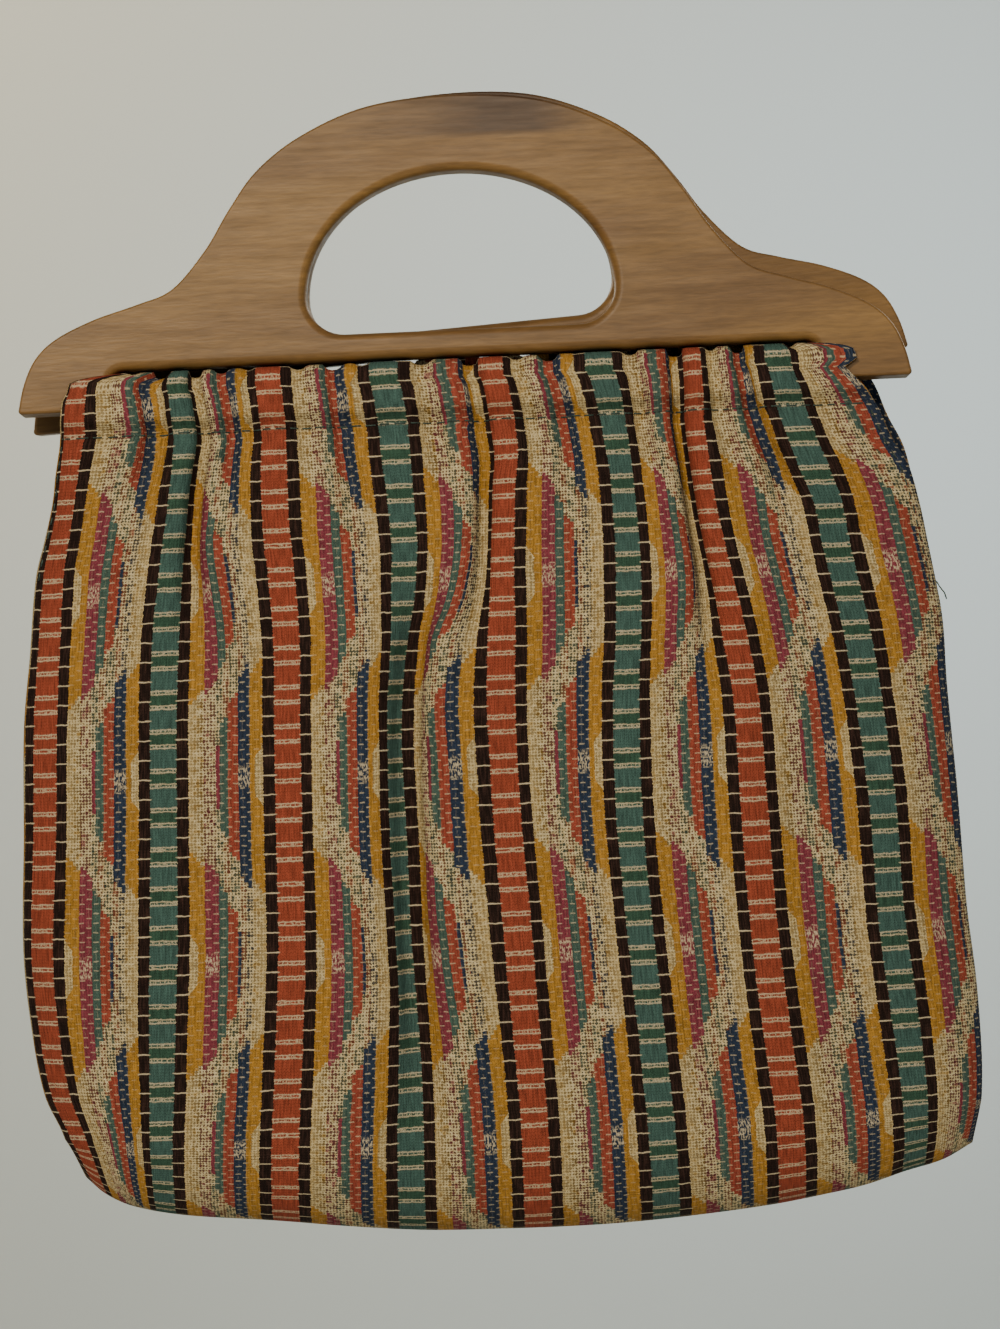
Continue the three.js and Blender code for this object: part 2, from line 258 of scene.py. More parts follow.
# Columns of colour in a leaf, from its stripe inwards: width and height in mm, the strength of
# the white dashes in it, and how far its middle is speckled
leftLeaf = [
    {"colour": "yellow", "width": 5.5, "height": 85, "dash": 0.25, "speckle": 0.0},
    {"colour": "crimson", "width": 5.0, "height": 78, "dash": 0.50, "speckle": 1.0},
    {"colour": "leafGreen", "width": 3.2, "height": 59, "dash": 0.50, "speckle": 0.0},
    {"colour": "leafOrange", "width": 3.6, "height": 44, "dash": 0.50, "speckle": 0.0},
    {"colour": "navy", "width": 1.4, "height": 25, "dash": 0.40, "speckle": 0.0},
]
rightLeaf = [
    {"colour": "yellow", "width": 5.0, "height": 88, "dash": 0.25, "speckle": 0.0},
    {"colour": "navy", "width": 4.5, "height": 84, "dash": 0.55, "speckle": 1.0},
    {"colour": "leafOrange", "width": 4.0, "height": 63, "dash": 0.50, "speckle": 0.0},
    {"colour": "leafGreen", "width": 3.2, "height": 45, "dash": 0.50, "speckle": 0.0},
    {"colour": "crimson", "width": 1.4, "height": 24, "dash": 0.40, "speckle": 0.0},
]


def leafStops(leaf, fromRight):
    # stops across one pitch, from the field's left side: colours, and height, dash and speckle
    pitch = weave["pitch"]
    field = pitch - weave["stripe"] - 2 * weave["edging"]
    spans = []
    edge = 0.0
    for column in leaf:
        steps = max(1, round(column["width"] / weave["step"]))
        for i in range(steps):
            tall = column["height"] * mix(1, 0.84, i / steps) / 2 / weave["leafPeriod"]
            start, end = edge + column["width"] * i / steps, edge + column["width"] * (i + 1) / steps
            look = (tall, column["dash"], column["speckle"], 1)
            spans.append((start, end, toLinear(weave[column["colour"]]), look))
        edge += column["width"]
    none = (0, 0, 0, 1)
    if fromRight:
        spans = [(field - end, field - start, colour, look) for start, end, colour, look in spans][::-1]
        colours, looks = [(0, none)], [(0, none)]
    else:
        colours, looks = [], []
    colours += [(start / pitch, colour) for start, end, colour, look in spans]
    looks += [(start / pitch, look) for start, end, colour, look in spans]
    return colours, looks + [(spans[-1][1] / pitch, none)]


def fromMiddle(tree, place, period, middle):
    # how far a place is from the nearest copy of something that repeats
    moved = addNode(tree, "Math", [place, middle], operation="SUBTRACT")
    return addNode(tree, "Math", [moved, period / 2], operation="PINGPONG")


# How uneven the yarns are: patches to the metre, across the cloth and down it
yarns = {
    "wander": {"across": 160, "down": 160, "detail": 2.0},
    "ripple": {"across": 420, "down": 420, "detail": 1.0},
    "fray": {"across": 200, "down": 1300, "detail": 1.0},
    "floats": {"across": 1600, "down": 140, "detail": 2.0},
    "comb": {"across": 1700, "down": 620, "detail": 1.0},
    "shade": {"across": 900, "down": 900, "detail": 2.0},
}


def makeCloth(name):
    # cotton, woven on a dobby loom: warp stripes, pairs of white weft bars and stepped leaves
    # the map holds metres of cloth: across from the first stripe's middle, and down
    material, tree = newMaterial(name)
    white = toLinear(weave["white"])
    pitch, stripe, edging = weave["pitch"], weave["stripe"], weave["edging"]
    field = pitch - stripe - 2 * edging
    uv = addNode(tree, "UVMap", uv_map="weave")
    apart = addNode(tree, "SeparateXYZ", [uv])

    # yarns are never quite straight, and the edge of each colour frays
    uneven = []
    for yarn in yarns.values():
        stretched = addNode(tree, "Mapping", {"Vector": uv, "Scale": (yarn["across"], yarn["down"], 1)})
        uneven.append(addNode(tree, "TexNoise", {"Vector": stretched, "Scale": 1.0, "Detail": yarn["detail"]}))
    wander, ripple, fray, floats, comb, shade = uneven
    across = addNode(tree, "Math", [apart.outputs["X"], 1000.0, -0.9], operation="MULTIPLY_ADD")
    across = addNode(tree, "Math", [wander, 0.8, across], operation="MULTIPLY_ADD")
    across = addNode(tree, "Math", [fray, 1.0, across], operation="MULTIPLY_ADD")
    down = addNode(tree, "Math", [apart.outputs["Y"], 1000.0, -0.4], operation="MULTIPLY_ADD")
    down = addNode(tree, "Math", [ripple, 0.8, down], operation="MULTIPLY_ADD")

    fromField = addNode(tree, "Math", [across, stripe / 2 + edging], operation="SUBTRACT")
    turns = addNode(tree, "Math", [fromField, pitch], operation="DIVIDE")
    share = addNode(tree, "Math", [turns], operation="FRACT")
    count = addNode(tree, "Math", [turns], operation="FLOOR")
    odd = addNode(tree, "Math", [count, 2.0], operation="FLOORED_MODULO")
    fromLeft = addNode(tree, "Math", [share, pitch], operation="MULTIPLY")

    # long floats of the warp, and the fine comb that the weft leaves on them
    floatShade = addNode(tree, "MapRange", [floats, 0.3, 0.7, 0.62, 1.3])
    combIn = addNode(tree, "MapRange", [comb, 0.46, 0.60, 0.0, 1.0])

    # cream ground: an open plain weave whose gaps show the colours that run behind it, darkened there as painted
    # shade
    cell = weave["cell"]
    waves = []
    cells = []
    for place in (across, down):
        turned = addNode(tree, "Math", [place, 2 * math.pi / cell, math.pi], operation="MULTIPLY_ADD")
        waves.append(addNode(tree, "Math", [turned], operation="COSINE"))
        cells.append(addNode(tree, "Math", [place, cell], operation="SNAP"))
    knots = addNode(tree, "Math", waves, operation="ADD")
    cellAt = addNode(tree, "CombineXYZ", cells)
    cellNoise = addNode(tree, "TexWhiteNoise", {"Vector": cellAt}, noise_dimensions="3D")
    gapSize = addNode(tree, "MapRange", [cellNoise, 0.0, 1.0, -1.1, 1.2])
    gapDepth = addNode(tree, "Math", [knots, gapSize], operation="SUBTRACT")
    gaps = addNode(tree, "MapRange", [gapDepth, 0.0, 0.7, 0.0, 1.0])
    behind = addNode(tree, "ValToRGB", [share], stops=[
        (row["from"] / pitch, toLinear(row["colour"])) for row in behindRows])
    behind.color_ramp.interpolation = "CONSTANT"
    # painted shade: the colours seen down in the gaps are darkened to about a third
    shadedGap = addNode(tree, "Mix", {"Factor": 1.0, "A": behind, "B": (0.32, 0.30, 0.28, 1)},
                    data_type="RGBA", blend_type="MULTIPLY")
    gapWeight = addNode(tree, "ValToRGB", [share], stops=[
        (0.0, (0.4, 0.4, 0.4, 1)),
        (5.0 / pitch, (0.9, 0.9, 0.9, 1)),
        ((field - 6) / pitch, (0.9, 0.9, 0.9, 1)),
        (field / pitch, (0.4, 0.4, 0.4, 1)),
    ])
    cellColours = addNode(tree, "SeparateColor", [cellNoise.outputs["Color"]])
    specks = addNode(tree, "MapRange", [cellColours.outputs[1], 0.84, 0.88, 0.0, 0.8])
    specks = addNode(tree, "Math", [specks, gapWeight], operation="MULTIPLY")
    creamTone = addNode(tree, "ValToRGB", [shade], stops=[
        (0.3, toLinear(weave["creamDeep"])), (0.7, toLinear(weave["creamPale"]))])
    ribs = addNode(tree, "Math", [gapWeight, -0.9, 0.8], operation="MULTIPLY_ADD")
    ground = addNode(tree, "Mix", {"Factor": ribs, "A": creamTone, "B": toLinear(weave["creamYellow"])},
                     data_type="RGBA")
    ground = addNode(tree, "Mix", {"Factor": specks, "A": ground, "B": behind}, data_type="RGBA")
    gapsIn = addNode(tree, "Math", [gaps, gapWeight], operation="MULTIPLY")
    surface = addNode(tree, "Mix", {"Factor": gapsIn, "A": ground, "B": shadedGap}, data_type="RGBA")

    # short white dashes over the leaves, laid like bricks
    brick = weave["brick"]
    bricks = addNode(tree, "Math", [fromLeft, brick], operation="DIVIDE")
    bricks = addNode(tree, "Math", [bricks], operation="FLOOR")
    dashRow = addNode(tree, "Math", [bricks, weave["dash"] / 2, down], operation="MULTIPLY_ADD")
    fromDash = fromMiddle(tree, dashRow, weave["dash"], 0.0)
    fromBrick = fromMiddle(tree, fromLeft, brick, brick / 2)
    dashIn = addNode(tree, "MapRange", [fromDash, 0.14, 0.34, 1.0, 0.0])
    dashSide = addNode(tree, "MapRange", [fromBrick, 0.85, 1.1, 1.0, 0.0])
    dashes = addNode(tree, "Math", [dashIn, dashSide], operation="MULTIPLY")
    ticks = addNode(tree, "MapRange", [fromBrick, 0.1, 0.35, 0.3, 0.0])
    ticks = addNode(tree, "Math", [ticks, combIn], operation="MULTIPLY")
    dashes = addNode(tree, "Math", [dashes, ticks], operation="MAXIMUM")

    for leaf, fromRight, middle in ((leftLeaf, False, weave["leftLeafAt"]),
                                    (rightLeaf, True, weave["rightLeafAt"])):
        colours, looks = leafStops(leaf, fromRight)
        colour = addNode(tree, "ValToRGB", [share], stops=colours)
        look = addNode(tree, "ValToRGB", [share], stops=looks)
        for ramp in (colour, look):
            ramp.color_ramp.interpolation = "CONSTANT"
        height, dash, speckle = addNode(tree, "SeparateColor", [look]).outputs
        away = fromMiddle(tree, down, weave["leafPeriod"], middle)
        away = addNode(tree, "Math", [away, weave["leafPeriod"]], operation="DIVIDE")
        inside = addNode(tree, "Math", [away, height], operation="LESS_THAN")
        toStripe = fromLeft
        if fromRight:
            toStripe = addNode(tree, "Math", [field, fromLeft], operation="SUBTRACT")
        bite = addNode(tree, "MapRange", [away, 0.045, 0.085, weave["bite"], 0.0],
                       interpolation_type="SMOOTHSTEP")
        kept = addNode(tree, "Math", [toStripe, bite], operation="GREATER_THAN")
        inside = addNode(tree, "Math", [inside, kept], operation="MULTIPLY")
        tone = addNode(tree, "Mix", {"Factor": 1.0, "A": colour, "B": floatShade},
                       data_type="RGBA", blend_type="MULTIPLY")
        speckles = addNode(tree, "MapRange", [away, 0.022, 0.034, 0.75, 0.0])
        speckles = addNode(tree, "Math", [speckles, speckle], operation="MULTIPLY")
        speckles = addNode(tree, "Math", [speckles, combIn], operation="MULTIPLY")
        marks = addNode(tree, "Math", [dashes, dash], operation="MULTIPLY")
        marks = addNode(tree, "Math", [marks, speckles], operation="MAXIMUM")
        leafFull = addNode(tree, "Mix", {"Factor": marks, "A": tone, "B": white}, data_type="RGBA")
        surface = addNode(tree, "Mix", {"Factor": inside, "A": surface, "B": leafFull}, data_type="RGBA")

    # coloured stripes, orange and green in turn, crossed by pairs of bars of two fine lines
    fromPair = fromMiddle(tree, down, weave["barPeriod"], weave["barAt"])
    fromPair = addNode(tree, "Math", [fromPair, weave["barGap"] / 2], operation="SUBTRACT")
    between = addNode(tree, "Math", [fromPair, 0.0], operation="LESS_THAN")
    fromBar = addNode(tree, "Math", [fromPair], operation="ABSOLUTE")
    fromLine = addNode(tree, "Math", [fromBar, weave["barLine"]], operation="SUBTRACT")
    fromLine = addNode(tree, "Math", [fromLine], operation="ABSOLUTE")
    fineLine = addNode(tree, "MapRange", [fromLine, 0.12, 0.34, 0.72, 0.0])
    combed = addNode(tree, "MapRange", [fromBar, 0.7, 1.25, 0.62, 0.0])
    combed = addNode(tree, "Math", [combed, combIn], operation="MULTIPLY")
    bars = addNode(tree, "Math", [fineLine, combed], operation="MAXIMUM")
    stripeTone = addNode(tree, "Mix", {"Factor": between, "A": toLinear(weave["green"]),
                                       "B": toLinear(weave["greenDark"])}, data_type="RGBA")
    stripeTone = addNode(tree, "Mix", {"Factor": odd, "A": stripeTone, "B": toLinear(weave["orange"])},
                         data_type="RGBA")
    stripeTone = addNode(tree, "Mix", {"Factor": 1.0, "A": stripeTone, "B": floatShade},
                         data_type="RGBA", blend_type="MULTIPLY")
    stripeFull = addNode(tree, "Mix", {"Factor": bars, "A": stripeTone, "B": white}, data_type="RGBA")

    # black edgings, and single white weft lines that run a little way out of them
    fromStripe = fromMiddle(tree, across, pitch, 0.0)
    inEdging = addNode(tree, "Math", [fromStripe, stripe / 2 + edging], operation="LESS_THAN")
    inStripe = addNode(tree, "Math", [fromStripe, stripe / 2], operation="LESS_THAN")
    blackTone = addNode(tree, "ValToRGB", [floats], stops=[
        (0.45, toLinear(weave["black"])), (0.75, toLinear(weave["blackPale"]))])
    surface = addNode(tree, "Mix", {"Factor": inEdging, "A": surface, "B": blackTone}, data_type="RGBA")
    surface = addNode(tree, "Mix", {"Factor": inStripe, "A": surface, "B": stripeFull}, data_type="RGBA")
    fromEdging = addNode(tree, "Math", [fromStripe, (stripe + edging) / 2], operation="SUBTRACT")
    fromEdging = addNode(tree, "Math", [fromEdging], operation="ABSOLUTE")
    lineReach = addNode(tree, "MapRange", [fromEdging, edging / 2, edging / 2 + weave["lineOver"], 1.0, 0.0])
    fromWeft = fromMiddle(tree, down, weave["lineGap"], weave["lineAt"])
    lines = addNode(tree, "MapRange", [fromWeft, 0.10, 0.38, 0.85, 0.0])
    lines = addNode(tree, "Math", [lines, lineReach], operation="MULTIPLY")
    surface = addNode(tree, "Mix", {"Factor": lines, "A": surface, "B": white}, data_type="RGBA")

    # relief of the yarns
    relief = addNode(tree, "Math", [gaps, -1.0, 1.0], operation="MULTIPLY_ADD")
    relief = addNode(tree, "Math", [bars, 0.6, relief], operation="MULTIPLY_ADD")
    relief = addNode(tree, "Math", [floats, 0.8, relief], operation="MULTIPLY_ADD")
    bump = addNode(tree, "Bump", {"Height": relief, "Strength": 0.7, "Distance": 0.0005})
    shader = addNode(tree, "BsdfPrincipled", {
        "Base Color": surface, "Roughness": 0.9, "Normal": bump, "Specular IOR Level": 0.12})
    addNode(tree, "OutputMaterial", [shader])
    return material


def makeThread():
    # cotton sewing thread, twisted: dull, dark green, with a fine ply that runs round it
    material, tree = newMaterial("cotton_thread_twisted")
    place = addNode(tree, "TexCoord").outputs["Object"]
    ply = addNode(tree, "TexNoise", {"Vector": place, "Scale": 1800.0, "Detail": 1.0})
    tone = addNode(tree, "ValToRGB", [ply], stops=[(0.35, toLinear("#16241f")), (0.65, toLinear("#2c4138"))])
    bump = addNode(tree, "Bump", {"Height": ply, "Strength": 0.5, "Distance": 0.0002})
    shader = addNode(tree, "BsdfPrincipled", {"Base Color": tone, "Roughness": 0.8, "Normal": bump})
    addNode(tree, "OutputMaterial", [shader])
    return material


woodFront = makeWood("limewood_sanded_front", 0.0)
woodBack = makeWood("limewood_sanded_back", 3.15)
clothWoven = makeCloth("cotton_dobby_woven")
threadGreen = makeThread()
print("materials made")


# Handle plates

plate = {
    "width": 335.4,
    "thick": 12.5,
    "round": 1.1,  # of the outer edges
    "worn": 3.3,  # of the edges that were rounded more, round the hand hole and along the notch
    "crownRise": 28.5,
    "holeWidth": 116.0,
    "holeArch": 46.0,
    "holeCorner": 14.0,
    "landHeight": 10.0,
    "footWidth": 34.5,
    "footDrop": 15.0,
    "footCorner": 1.4,
    "notchCorner": 5.0,
    "lean": 2.25,
    "gap": 0.5,
    "swing": 3.15,
    "shift": -2.6,
    "lift": 3.2,
    "dowelBelowNotch": 8.3,
}

# Right half of the outline: shares of half the width, and of the height above the feet
plateOutline = [
    {"across": 0.191, "up": 0.974},
    {"across": 0.341, "up": 0.887},
    {"across": 0.445, "up": 0.776},
    {"across": 0.512, "up": 0.648},
    {"across": 0.568, "up": 0.519},
    {"across": 0.645, "up": 0.394},
    {"across": 0.725, "up": 0.348},
    {"across": 0.823, "up": 0.304},
    {"across": 0.909, "up": 0.246},
    {"across": 0.958, "up": 0.182},
    {"across": 0.986, "up": 0.098},
]

notchTop = -plate["holeArch"] - plate["holeCorner"] - plate["landHeight"]
footBottom = notchTop - plate["footDrop"]
dowelLevel = notchTop - plate["dowelBelowNotch"]
notchHalf = plate["width"] / 2 - plate["footWidth"]


def hangPlate(side, swung):
    # where a plate hangs: side is -1 for the front and 1 for the back
    lean = math.radians(plate["lean"])
    middle = plate["thick"] / 2 + plate["gap"] / 2 + plate["crownRise"] * math.sin(lean)
    turn = Matrix.Rotation(side * lean, 4, "X")
    place = Vector((0, side * middle, 0))
    if swung:
        turn = turn @ Matrix.Rotation(-math.radians(plate["swing"]), 4, "Y")
        place += Vector((plate["shift"], 0, plate["lift"]))
    return Matrix.Translation(place) @ turn


def arc(x, z, radius, start, end, steps):
    angles = [math.radians(mix(start, end, i / steps)) for i in range(steps + 1)]
    return [(x + radius * math.cos(a), z + radius * math.sin(a)) for a in angles]


def throughPoints(points, steps):
    # a smooth line through points, with steps between each two
    line = []
    for i in range(len(points) - 1):
        p = [points[max(i - 1, 0)], points[i], points[i + 1], points[min(i + 2, len(points) - 1)]]
        for j in range(steps):
            t = j / steps
            line.append(tuple(
                0.5 * (2 * b + (c - a) * t + (2 * a - 5 * b + 4 * c - d) * t * t
                       + (3 * b - a - 3 * c + d) * t ** 3)
                for a, b, c, d in zip(*p)))
    return line + [points[-1]]


def plateLoops():
    height = plate["crownRise"] - footBottom
    half = plate["width"] / 2
    right = [(row["across"] * half, footBottom + row["up"] * height) for row in plateOutline]
    left = [(-x, z) for x, z in right]
    corner = plate["footCorner"]
    ankle = footBottom + corner
    outline = throughPoints([(half, ankle), *right[::-1], (0, plate["crownRise"]), *left, (-half, ankle)], 7)
    inner = notchHalf + corner
    roof = plate["notchCorner"]
    outline += arc(corner - half, ankle, corner, 180, 270, 6)[1:]
    outline += arc(-inner, ankle, corner, 270, 360, 6)
    outline += arc(roof - notchHalf, notchTop - roof, roof, 180, 90, 6)
    outline += arc(notchHalf - roof, notchTop - roof, roof, 90, 0, 6)
    outline += arc(inner, ankle, corner, 180, 270, 6)
    outline += arc(half - corner, ankle, corner, -90, 0, 6)[:-1]
    arch = [(plate["holeWidth"] / 2 * math.cos(math.pi * i / 64),
             plate["holeArch"] * (math.sin(math.pi * i / 64) - 1)) for i in range(65)]
    side = plate["holeWidth"] / 2 - plate["holeCorner"]
    hole = arch + arc(-side, -plate["holeArch"], plate["holeCorner"], 180, 270, 10)[1:]
    hole += arc(side, -plate["holeArch"], plate["holeCorner"], -90, 0, 10)[:-1]
    return outline, hole


def wearEdges(bm, loops):
    # the edges round the hand hole and along the notch get their wider rounding
    # both loops run anticlockwise, so the way into the wood is out of the hole but into the outline
    marks = []
    for loop, into in zip(loops, (-1, 1)):
        for i, (x, z) in enumerate(loop):
            before, after = loop[i - 1], loop[(i + 1) % len(loop)]
            out = into * Vector((after[1] - before[1], before[0] - after[0])).normalized()
            inHole = abs(x) <= plate["holeWidth"] / 2 + 0.1 and z > notchTop + 0.5 and loop is loops[1]
            inNotch = abs(x) <= notchHalf + 0.1 and z <= notchTop + 0.5
            share = 1.0 if inHole else smooth(footBottom + 2, footBottom + 9, z) if inNotch else 0.0
            marks.append((x, z, out, share))
    tree = KDTree(len(marks))
    for i, (x, z, out, share) in enumerate(marks):
        tree.insert((x, z, 0), i)
    tree.balance()
    flat = plate["thick"] / 2
    for vert in bm.verts:
        x, z, y = vert.co / mm
        _, i, _ = tree.find((x, z, 0))
        _, _, out, share = marks[i]
        sink = min(max((abs(y) - (flat - plate["round"])) / plate["round"], 0.0), 1.0)
        if share == 0 or abs(y) < flat - plate["round"] - 0.01:
            continue
        wide = mix(plate["round"], plate["worn"], share) * (1 + 0.1 * noise.noise(Vector((x / 9, z / 9, y))))
        inset = (wide - plate["round"]) * (1 - math.sqrt(1 - sink * sink))
        vert.co.x += out.x * inset * mm
        vert.co.y += out.y * inset * mm
        vert.co.z = math.copysign(flat - wide * (1 - sink), y) * mm

    # the rims have moved, so both flat faces are filled again between them
    caps = [f for f in bm.faces if all(abs(v.co.z) > (flat - 0.001) * mm for v in f.verts)]
    bmesh.ops.delete(bm, geom=caps, context="FACES")
    for side in (-1, 1):
        rims = [e for e in bm.edges if e.is_boundary and e.verts[0].co.z * side > 0]
        bmesh.ops.triangle_fill(bm, use_beauty=True, use_dissolve=False, edges=rims)


def makePlate(name, side, material):
    # a flat curve gives the board with its rounded edges, then it becomes a mesh
    shape = bpy.data.curves.new(name, "CURVE")
    shape.dimensions = "2D"
    shape.fill_mode = "BOTH"
    shape.extrude = (plate["thick"] / 2 - plate["round"]) * mm
    shape.bevel_depth = plate["round"] * mm
    shape.bevel_resolution = 5
    shape.offset = -plate["round"] * mm
    loops = plateLoops()
    for loop in loops:
        line = shape.splines.new("POLY")
        line.points.add(len(loop) - 1)
        for point, (x, z) in zip(line.points, loop):
            point.co = (x * mm, z * mm, 0, 1)
        line.use_cyclic_u = True
    flat = bpy.data.objects.new(name + "_flat", shape)
    bpy.context.scene.collection.objects.link(flat)
    bpy.context.view_layer.update()
    mesh = bpy.data.meshes.new_from_object(flat.evaluated_get(bpy.context.evaluated_depsgraph_get()))
    bpy.data.objects.remove(flat)
    place = hangPlate(side, side > 0)
    place.translation *= mm
    bm = bmesh.new()
    bm.from_mesh(mesh)
    bmesh.ops.remove_doubles(bm, verts=bm.verts, dist=1e-6)
    wearEdges(bm, loops)
    bmesh.ops.transform(bm, matrix=place @ Matrix.Rotation(math.radians(90), 4, "X"), verts=bm.verts)
    bmesh.ops.recalc_face_normals(bm, faces=bm.faces)
    piece = pieceFromBmesh(name, bm)
    weighted = piece.modifiers.new("even_shading", "WEIGHTED_NORMAL")
    weighted.weight = 100
    finishPiece(piece, [material])
    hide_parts("front_handle" if side < 0 else "back_handle")
    return piece


makePlate("front_plate", -1, woodFront)
makePlate("back_plate", 1, woodBack)
for node in ("front_dowel", "back_dowel"):
    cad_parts[node].data.materials.clear()
    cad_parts[node].data.materials.append(woodFront)
print("handles made")


# Cloth

bag = {
    "thick": 1.2,
    "leftEdge": -11.0,  # of the cloth, from the first stripe's middle
    "rightEdge": 7 * 46.6 + 32.5,
    "columnStep": 1.7,
    "rowStep": 2.6,
    "casingDrop": 16.6,
    "casingFront": 8.8,
    "casingBack": 6.4,
    "casingTop": 8.0,
    "stitchOut": 5.4,
    "foldLimit": 4.3,  # how deep a fold may run into the casing
    "flapEnd": -1.3,  # of the casing's inner edge, behind the stitches
    "drop": 303.7,
    "depth": 56.0,
    "straight": 0.87,
    "sideCurve": 2.6,
    "sideFullness": 0.62,
    "slitLeft": 55.0,
    "slitRight": 71.0,
    "seamGap": 0.1,
}
stitchLevel = dowelLevel - bag["casingDrop"]

# Middles of the eight coloured stripes across the front, and the cloth's two edges, by level
stripeNames = "abcdefgh"
trackNames = ("z", "left", *stripeNames, "right")
frontTracks = [dict(zip(trackNames, row)) for row in (
    (-74, -150.0, -147.0, -106.0, -74.0, -31.0, 9.5, 50.0, 84.2, 117.0, 136.0),
    (-95, -152.5, -150.0, -103.5, -73.0, -28.0, 13.0, 54.5, 83.8, 121.5, 153.5),
    (-108, -155.5, -152.0, -105.5, -73.1, -26.9, 13.8, 56.5, 84.3, 125.5, 159.5),
    (-118, -157.5, -153.5, -107.5, -73.3, -26.1, 12.5, 57.5, 85.2, 129.0, 165.5),
    (-132, -161.8, -156.5, -110.0, -73.0, -25.3, 11.5, 58.2, 87.0, 134.0, 169.5),
    (-146, -166.3, -159.5, -112.5, -72.0, -25.3, 10.3, 58.4, 89.5, 136.0, 172.3),
    (-174, -169.8, -162.5, -116.3, -70.8, -28.5, 9.6, 57.4, 95.0, 141.5, 177.0),
    (-202, -173.4, -164.5, -118.5, -71.6, -32.0, 8.5, 54.8, 99.4, 145.3, 177.8),
    (-244, -175.4, -166.5, -120.2, -72.6, -33.0, 8.9, 53.9, 100.4, 149.4, 180.0),
    (-286, -177.5, -169.5, -121.9, -73.4, -33.0, 11.0, 55.8, 101.8, 150.6, 181.5),
    (-314, -176.0, -168.5, -124.0, -75.3, -32.4, 11.8, 57.6, 103.6, 153.0, 183.8),
    (-342, -171.9, -164.8, -125.6, -77.8, -32.5, 13.0, 59.3, 106.4, 155.8, 184.6),
    (-359, -165.0, -159.0, -127.2, -79.4, -33.0, 13.5, 60.4, 108.3, 157.0, 183.8),
    (-398, -157.5, -152.0, -128.5, -81.8, -34.2, 13.2, 61.8, 109.5, 157.0, 179.5),
)]

# The bottom seam: where it runs across the bag, from -1 to 1, and how far below the stitches
bottomRows = [
    {"at": -1.000, "down": 279.0},
    {"at": -0.955, "down": 285.5},
    {"at": -0.892, "down": 290.5},
    {"at": -0.770, "down": 294.8},
    {"at": -0.573, "down": 298.0},
    {"at": -0.390, "down": 301.5},
    {"at": -0.190, "down": 304.6},
    {"at": 0.000, "down": 305.4},
    {"at": 0.210, "down": 305.5},
    {"at": 0.420, "down": 303.5},
    {"at": 0.568, "down": 301.0},
    {"at": 0.676, "down": 298.2},
    {"at": 0.767, "down": 295.2},
    {"at": 0.852, "down": 290.8},
    {"at": 0.937, "down": 286.8},
    {"at": 1.000, "down": 281.0},
]

# Folds in the front, one row each: which stripe it lies by and how far from its middle, at the
# top and at the foot, half its width, its steepness, and the levels where it starts and ends
frontFolds = [
    {"by": 0, "top": 12.0, "foot": 12.0, "wide": 3.6, "steep": 0.70, "start": -60, "end": -125},
    {"by": 0, "top": 30.0, "foot": 32.0, "wide": 4.2, "steep": 0.85, "start": -60, "end": -130},
    {"by": 1, "top": -9.0, "foot": -11.0, "wide": 3.8, "steep": 0.60, "start": -60, "end": -120},
    {"by": 1, "top": 11.0, "foot": 9.0, "wide": 4.6, "steep": 1.25, "start": -60, "end": -190},
    {"by": 1, "top": 25.0, "foot": 28.0, "wide": 3.8, "steep": 0.85, "start": -60, "end": -135},
    {"by": 2, "top": -9.0, "foot": -9.0, "wide": 3.2, "steep": 0.70, "start": -60, "end": -120},
    {"by": 2, "top": 12.0, "foot": 14.0, "wide": 3.6, "steep": 0.70, "start": -60, "end": -135},
    {"by": 2, "top": 27.0, "foot": 29.0, "wide": 3.8, "steep": 0.80, "start": -60, "end": -150},
    {"by": 3, "top": -8.0, "foot": -8.0, "wide": 3.2, "steep": 0.60, "start": -60, "end": -120},
    {"by": 3, "top": 10.0, "foot": 3.0, "wide": 6.0, "steep": 0.85, "start": -150, "end": -385},
    {"by": 3, "top": 14.0, "foot": 16.0, "wide": 3.6, "steep": 0.70, "start": -60, "end": -130},
    {"by": 4, "top": -10.5, "foot": -12.0, "wide": 4.4, "steep": 1.20, "start": -60, "end": -210},
    {"by": 4, "top": 11.5, "foot": 13.0, "wide": 3.6, "steep": 0.75, "start": -60, "end": -130},
    {"by": 4, "top": 27.0, "foot": 25.0, "wide": 3.8, "steep": 0.85, "start": -60, "end": -135},
    {"by": 5, "top": -8.5, "foot": -9.0, "wide": 3.0, "steep": 0.55, "start": -60, "end": -118},
    {"by": 5, "top": 13.0, "foot": 14.0, "wide": 3.6, "steep": 0.80, "start": -60, "end": -130},
    {"by": 6, "top": -10.0, "foot": -11.0, "wide": 4.8, "steep": 1.30, "start": -60, "end": -215},
    {"by": 6, "top": 10.5, "foot": 16.0, "wide": 3.8, "steep": 0.90, "start": -60, "end": -140},
    {"by": 6, "top": 26.0, "foot": 34.0, "wide": 4.0, "steep": 1.00, "start": -60, "end": -150},
    {"by": 7, "top": 11.0, "foot": 12.0, "wide": 3.6, "steep": 0.70, "start": -60, "end": -125},
    {"by": 7, "top": 26.0, "foot": 26.0, "wide": 4.0, "steep": 0.70, "start": -60, "end": -130},
    {"by": 3, "top": 6.0, "foot": 4.0, "wide": 13.0, "steep": 0.42, "start": -130, "end": -420},
    {"by": 1, "top": 22.0, "foot": 20.0, "wide": 12.0, "steep": 0.18, "start": -140, "end": -420},
    {"by": 4, "top": 22.0, "foot": 22.0, "wide": 12.0, "steep": 0.18, "start": -150, "end": -400},
    {"by": 5, "top": 24.0, "foot": 22.0, "wide": 11.0, "steep": 0.22, "start": -180, "end": -420},
    {"by": 6, "top": 22.0, "foot": 20.0, "wide": 12.0, "steep": 0.18, "start": -160, "end": -420},
]

